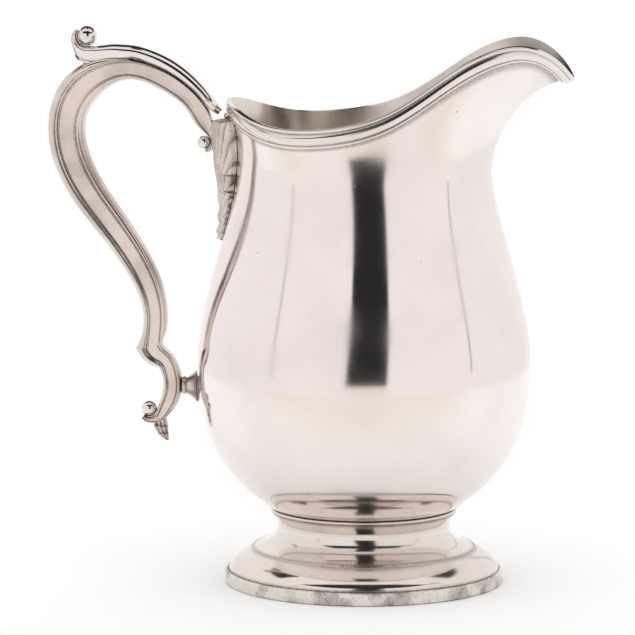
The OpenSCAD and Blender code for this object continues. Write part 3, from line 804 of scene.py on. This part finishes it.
def curl(centre, r, angle, half, half_w):
    a = math.radians(angle)
    away = r + 2 * solder + half
    x, z = centre[0] + away * math.cos(a), centre[2] + away * math.sin(a)
    return [x, z, half, half, half_w / handle_half_w]


stations = [curl(upper_at, upper_r + solder, a, h, w) for a, h, w in
            ((-80, 0.6, 3), (-52, 0.75, 3.3), (-24, 0.9, 3.5), (4, 1.05, 3.8), (38, 1.25, 4.2))]
stations += [[*handle_at(s, out), a, b, w] for s, out, a, b, w in
             ((0.915, 9.2, 3.5, 3.5, 0.85), (0.985, 15.6, 4, 4, 0.95), (1.055, 27.5, 4.2, 4.2, 1),
              (1.102, 44.5, 4.6, 4.6, 1), (1.064, 61.4, 7.8, 7.8, 1), (0.965, 69, 8.2, 8.2, 1),
              (0.84, 68, 8.1, 8.1, 1), (0.72, 60.9, 7.9, 7.9, 1), (0.57, 46, 7.2, 7.2, 0.97),
              (0.43, 32.2, 6.4, 6.4, 0.93), (0.3, 23.6, 5.6, 5.6, 0.9), (0.225, 21.6, 5.3, 5.3, 0.9),
              (0.18, 21.3, 5.8, 5, 0.92), (0.142, 20, 9.5, 2.8, 0.96))]
handle_curve = curve_through(stations)
knots = np.concatenate([[0], np.cumsum(np.linalg.norm(np.diff(np.array(stations)[:, :2], axis=0), axis=1))])
knots = knots / knots[-1]
along_handle = np.unique(np.concatenate([np.linspace(a, b, 13) for a, b in zip(knots[:-1], knots[1:])]))


def plane_path(curve, at):
    """Points, facing and sizes in the handle's plane from a curve of x, z, outer, inner and width."""
    values = curve(at)
    ahead_of = curve(np.clip(at + 1e-4, 0, 1))[:, :2] - curve(np.clip(at - 1e-4, 0, 1))[:, :2]
    way = unit(ahead_of)
    points = np.stack([values[:, 0], np.zeros(len(at)), values[:, 1]], -1)
    side = np.stack([way[:, 1], np.zeros(len(at)), -way[:, 0]], -1)
    across = np.tile([0.0, 1, 0], (len(at), 1))
    return points, side, across, values


# out and across, each as a share of the handle's depth and half width; then rounding and recess
# the film on the flank below the spine (recess 0.9, 1 and 0.6) is tarnish in the cove and also a painted
# reflection of the tent's dark front
half_section = [(1.0, 0, 0, 0), (0.985, 0.36, 0.12, 0), (0.93, 0.68, 0.14, 0), (0.8, 0.93, 0.12, 0),
                (0.66, 0.99, 0.06, 0.1), (0.57, 0.95, 0.04, 0.9), (0.45, 0.83, 0.05, 1),
                (0.36, 0.8, 0.04, 0.6), (0.0, 0.78, 0.2, 0), (-0.42, 0.82, 0.03, 0.3),
                (-0.49, 0.75, 0.03, 0.9), (-0.56, 0.87, 0.04, 0.5), (-0.63, 0.92, 0.05, 0),
                (-0.82, 0.84, 0.1, 0), (-0.94, 0.5, 0.12, 0), (-1.0, 0, 0, 0)]
no_spine = [(1.0, 0, 0, 0), (0.99, 0.2, 0.02, 0), (0.98, 0.45, 0.04, 0), (0.95, 0.66, 0.06, 0),
            (0.93, 0.78, 0.04, 0), (0.91, 0.82, 0.02, 0), (0.88, 0.84, 0.02, 0),
            (0.84, 0.84, 0.02, 0), (0.1, 0.8, 0.2, 0), (-0.42, 0.82, 0.03, 0.3),
            (-0.49, 0.75, 0.03, 0.9), (-0.56, 0.87, 0.04, 0.5), (-0.63, 0.92, 0.05, 0),
            (-0.82, 0.84, 0.1, 0), (-0.94, 0.5, 0.12, 0), (-1.0, 0, 0, 0)]
spine_from, spine_full = knots[7], knots[9]
for half, turn in (("left", -1), ("right", 1)):
    points, side, across, values = plane_path(handle_curve, along_handle)
    path_chain = make_path(points, side, turn * across, values[:, 2], values[:, 3],
                           values[:, 4] * handle_half_w,
                           1 - ease((along_handle - spine_from) / (spine_full - spine_from)))
    sweep_piece("handle_shell_" + half, path_chain, make_section(half_section, no_spine), cast_silver,
                ["handle_shell_" + half], 50)

# %% [markdown]
# ## The thumb scroll
# A separate cast strip lies on top of the handle's arch, from the bead at the rim to a curl round
# the thumb ball. Its top is a plain half-round roll; only its flanks are moulded.

# %% Thumb scroll
steps_each = 3
ride_from, ride_to = 5 * steps_each + 2, 8 * steps_each
strip = [[bead_at[0] - bead_r - 1.6, bead_at[2] + 1.5, 1.3, 1.3, 0.6]]
for step in range(ride_from, ride_to + 1):
    whole, part = divmod(step, steps_each)
    at = lerp(knots[whole], knots[whole + 1], part / steps_each)
    half_d = lerp(2.2, 2.9, float(ease((step - ride_from) / (ride_to - ride_from))))
    x, z, outer = handle_curve(at)[:3]
    way = unit(handle_curve(at + 1e-4)[:2] - handle_curve(at - 1e-4)[:2])
    gap = outer + solder + half_d
    strip.append([x + gap * way[1], z - gap * way[0], half_d, half_d, 1])
strip += [[*handle_at(s, out), half_d, half_d, 1] for s, out, half_d in
          ((1.164, 47.5, 2.9), (1.168, 53, 2.6), (1.166, 58, 2.3))]
for k in range(10):
    half_d = lerp(2.1, 0.5, k / 9)
    half_w = lerp(strip_half_w, 3.8, k / 9) / strip_half_w
    strip.append([*curl(thumb_at, thumb_r, lerp(-78, -212, k / 9), half_d, 1)[:4], half_w])
# under its free end the strip swells down to meet the handle, then thins round the ball
for row, swell in zip(strip[-13:], (1.0, 2.2, 3.0, 3.4, 3.1, 2.7, 1.3, 0.2)):
    row[3] += swell
strip_curve = curve_through(strip)
along_strip = np.linspace(0, 1, 241)

roll = [(math.cos(a) * 1.15 - 0.15, 0.96 * math.sin(a), 0, 0) for a in np.linspace(0, 1.75, 17)]
strip_half = roll + [(-0.62, 0.96, 0.1, 0.1), (-0.78, 0.8, 0.05, 1), (-1.0, 0.86, 0.05, 1), (-1.0, 0.5, 0, 1)]
strip_section = strip_half + [(n, -y, r, film) for n, y, r, film in strip_half[:0:-1]]
points, side, across, values = plane_path(strip_curve, along_strip)
path_chain = make_path(points, side, across, values[:, 2], values[:, 3], values[:, 4] * strip_half_w)
sweep_piece("thumb_scroll", path_chain, make_section(strip_section), roll_silver, ["thumb_scroll"],
            50)

# %% [markdown]
# ## The lower scroll, its leaf and the post
# The lower scroll is a casting of its own. It hides the handle's cut end, touches the post and
# rolls up round the lower ball. A small leaf hangs under the roll, and the post ties the whole
# handle to the belly through a small turned ring.

# %% Lower scroll
lower_w = 0.88
cut_way = unit(handle_curve(1.0)[:2] - handle_curve(0.999)[:2])
lower_start = handle_curve(1.0)[:2] + 1.6 * np.array([cut_way[1], -cut_way[0]]) + 2 * solder * cut_way
lower = [[*lower_start, 4.5, 4.5, lower_w], [*(lower_start + [1.2, -2.1]), 4.2, 4.2, lower_w]]
lower += [[*handle_at(s, out), half_d, half_d, lower_w] for s, out, half_d in
          ((0.096, 16, 3.7), (0.055, 12.8, 4), (0, 11.1, 4.2), (-0.05, 11.7, 4))]
lower += [curl(lower_at, lower_r, a, half_d, lower_w * handle_half_w - (3.2 - half_d) / 3) for a, half_d in
          ((-4, 3.2), (-34, 2.3), (-66, 1.5), (-98, 1.05), (-128, 0.7))]
for row, depth_out in zip(lower, (7.9, 7.0, 5.4, 4.4)):
    row[2] = depth_out
lower[0][1] += 1.0
lower_curve = curve_through(lower)
along_lower = np.linspace(0, 1, 121)
for half, turn in (("left", -1), ("right", 1)):
    points, side, across, values = plane_path(lower_curve, along_lower)
    path_chain = make_path(points, side, turn * across, values[:, 2], values[:, 3],
                           values[:, 4] * handle_half_w)
    sweep_piece("lower_scroll_" + half, path_chain, make_section(half_section), cast_silver,
                ["lower_scroll_" + half], 50)

# %% Post
post_from = -belly_r - 2 * solder
post_len = post_from - (lower[4][0] + lower[4][3]) - solder
flare_r, ring_r = 7.2, 3.9
waist = 0.9 * ring_r
post = [(0, 0, 0, 0), (flare_r - 0.2, 0, 0, 1), (flare_r, 0.25, 0.1, 1)]
post += [(lerp(flare_r, waist, f ** 0.75), 0.25 + f * (post_len - 2.25), 0, 0.6 * (1 - f) ** 2)
         for f in np.linspace(0.05, 1, 20)]
post += [(waist - 0.15, post_len - 1.95, 0.1, 1), (ring_r, post_len - 1.5, 0.3, 0),
         (ring_r, post_len - 0.4, 0.3, 0), (ring_r - 0.4, post_len, 0.1, 0.5), (0, post_len, 0, 0)]
turned("lower_strut", post, cast_silver, "lower_strut", (post_from, 0, strut_z),
       (-1, 0, 0), 96)

# %% [markdown]
# ## Chased leaves
# A leaf of this kind is cast and then sharpened with punches: long flutes run from its root, and
# slanted lobes overlap like fish scales near its tip. A formula gives the height of every point on
# a grid that follows the body. Recess is simply how far a point lies below the lobes beside it.


# %% Leaf helpers
def leaf_relief(up, a, strands, lean):
    """Height (0 to 1) of a chased leaf's skin at place up (0 tip, 1 root) and share a of its half
    width. Strands start at the edge near the root and sweep down to end on the ridge."""
    sweep_line = np.abs(a) - lean * (up + 0.12 * np.sin(3 * up))
    wave = strands * sweep_line
    step = wave - np.floor(wave)
    return np.clip(step / 0.22, 0, 1) ** 0.8 * np.clip((1.02 - step) / 0.6, 0, 1) ** 0.5


# place up the body and half width in degrees, from the tip up
leaf_rows = np.array([[0.845, 0.8], [0.868, 3], [0.895, 4.4], [0.925, 5.4], [0.96, 6.2],
                      [1.01, 6.8], [1.22, 7.4], [1.5, 7.9], [1.78, 8.2], [2.0, 8.2]])
row_at_place = cubic(np.linspace(0, 1, len(leaf_rows)), leaf_rows)
# how far the ridge stands off the body at each height above the table, in millimetres
stand_z = [141, 143.5, 146.5, 149, 151.5, 154.5, 157.5, 161, 164.5, 168, 174.7, 180, 190, 198, 204]
stand_out = [0.5, 2.2, 3.4, 2.6, 3.9, 3.4, 5.0, 4.9, 6.6, 7.2, 9.0, 10.3, 11.0, 11.0, 9.0]
ups, shares = np.linspace(0, 1, 241), np.linspace(-1, 1, 193)
top, film, base = [], [], []
for up in ups:
    v, wide = row_at_place(up)
    z = body_at(np.array([180.0]), v)[0, 2]
    ridge = np.interp(z, stand_z, stand_out)
    # the outline is scalloped where the lobes end, and spreads towards the root
    wide = wide * (1.15 + 0.45 * ease((up - 0.3) / 0.7))
    scallop = 1 - 0.14 * (1 - ease((up - 0.55) / 0.2)) * abs(math.sin(math.pi * 9 * up))
    t = 180 + shares * wide * scallop
    relief = leaf_relief(up, shares, 8, 0.95)
    dome = np.sqrt(np.clip(1 - shares ** 2, 0, 1))
    full = 0.6 + max(ridge - 0.6, 0) * dome ** 0.9
    height = np.maximum(full - (0.2 + 0.9 * dome) * (1 - relief) * min(1, ridge / 4), 0.25)
    top.append(body_at(t, v) + height[:, None] * body_normal(t, v))
    base.append(body_at(t, v) + 0.1 * body_normal(t, v))
    film.append(np.clip(0.9 * (1 - relief) ** 1.2, 0, 0.8) + 0.3 * (np.abs(shares) > 0.985))
rings = [np.concatenate([a, b[::-1]]) for a, b in zip(top, base)]
recess = [np.concatenate([np.clip(f, 0, 1), np.ones(len(f))]) for f in film]
leaf_mesh = grid_mesh("acanthus_drop", rings, recess)
leaf_mesh.materials.append(leaf_silver)
finish_mesh(leaf_mesh, 60)
place_piece("acanthus_drop", leaf_mesh, ["acanthus_drop"])

# %% Tail leaf
tail_angle = math.radians(-52)
roll_depth = 4.6
root_away = lower_r + 2 * solder + roll_depth
root_way = np.array([math.cos(tail_angle), math.sin(tail_angle)])
root = lower_at[[0, 2]] + root_away * root_way
tail = [[*(root + step), half_d, half_d, half_w] for step, half_d, half_w in
        (([-0.5, 2.6], 3.0, 3.9), ([0, 0], 3.3, 3.8), ([0.7, -2.8], 2.9, 3.5), ([2, -5.4], 1.8, 2.4),
         ([3.2, -7.4], 0.4, 0.7))]
tail_curve = curve_through(tail)
points, side, across, values = plane_path(tail_curve, np.linspace(0, 1, 61))
angle = np.linspace(0, 2 * math.pi, 73)[:-1]
rings, recess = [], []
for k, (point, out_way, over, value) in enumerate(zip(points, side, across, values)):
    down = k / (len(points) - 1)
    flute = 0.5 + 0.5 * np.cos(9 * angle)
    step = 3 * down + 0.25 * np.cos(angle)
    lobe = 1 - (step - np.floor(step))
    r = 1 - 0.16 * (1 - flute) - 0.14 * (1 - lobe)
    rings.append(point + (r * np.cos(angle) * value[2])[:, None] * out_way
                 + (r * np.sin(angle) * value[4])[:, None] * over)
    recess.append(np.clip(1.2 * (1 - flute) * 0.6 + 0.6 * (1 - lobe) ** 3, 0, 1))
tail_mesh = grid_mesh("tail_leaf", rings, recess)
tail_mesh.materials.append(leaf_silver)
finish_mesh(tail_mesh, 60)
place_piece("tail_leaf", tail_mesh, ["tail_leaf"])
